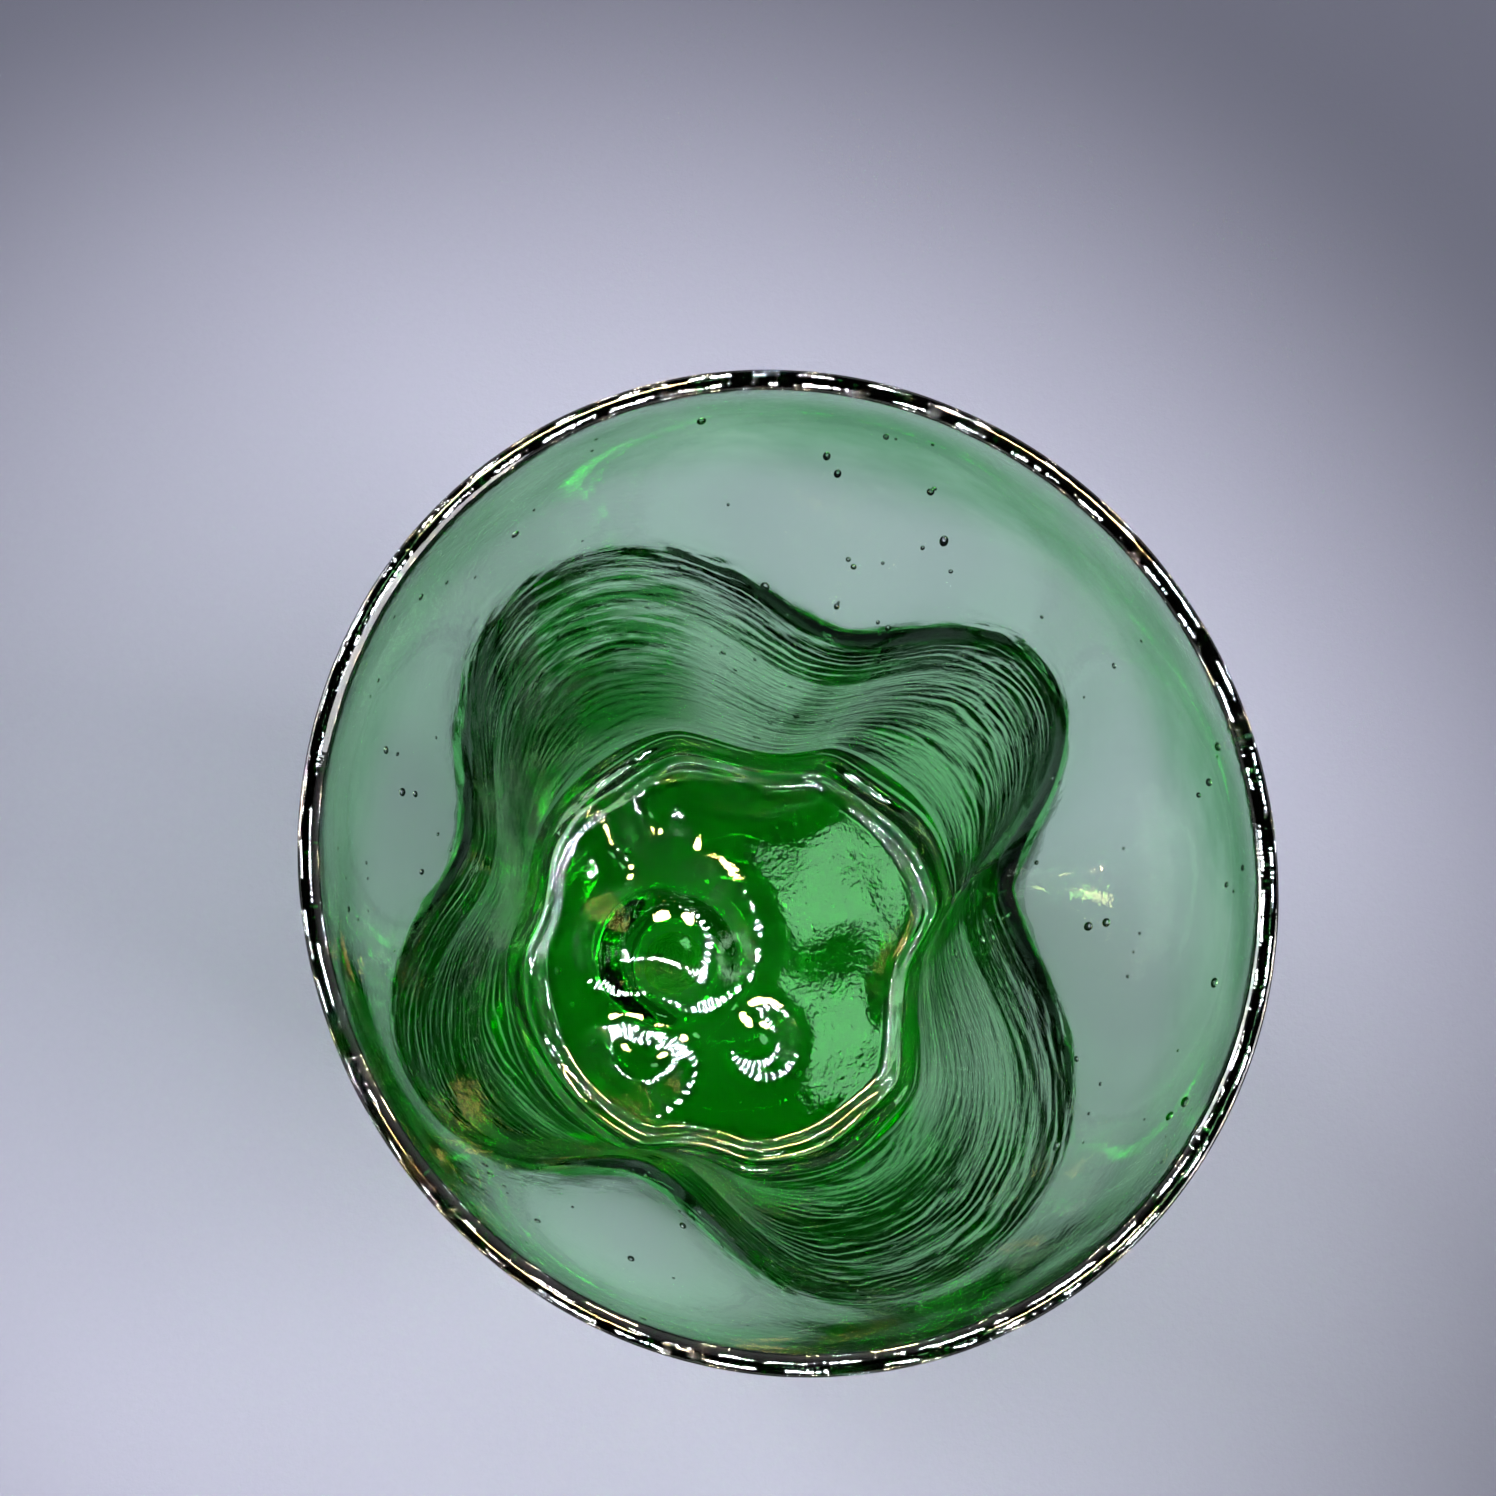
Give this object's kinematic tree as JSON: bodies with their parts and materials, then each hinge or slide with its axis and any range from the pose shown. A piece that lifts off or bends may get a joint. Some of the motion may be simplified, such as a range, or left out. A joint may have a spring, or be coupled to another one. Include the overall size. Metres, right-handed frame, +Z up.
{
  "type": "dimpled glass tumbler",
  "caption": "Hand-blown green glass tumbler with a round rim, finger dimples pressed into the sides and a thick base.",
  "frame": {"origin": "on the tumbler's axis, at the level of the foot ring that it stands on", "axes": "+Z up out of the mouth; +X towards the deepest dimple"},
  "size_m": [0.0838, 0.0868, 0.095],
  "materials": {
    "green_glass": "clear green blown glass, fire-polished"
  },
  "bodies": {
    "root": {"glass_body": "green_glass"}
  },
  "joints": []
}
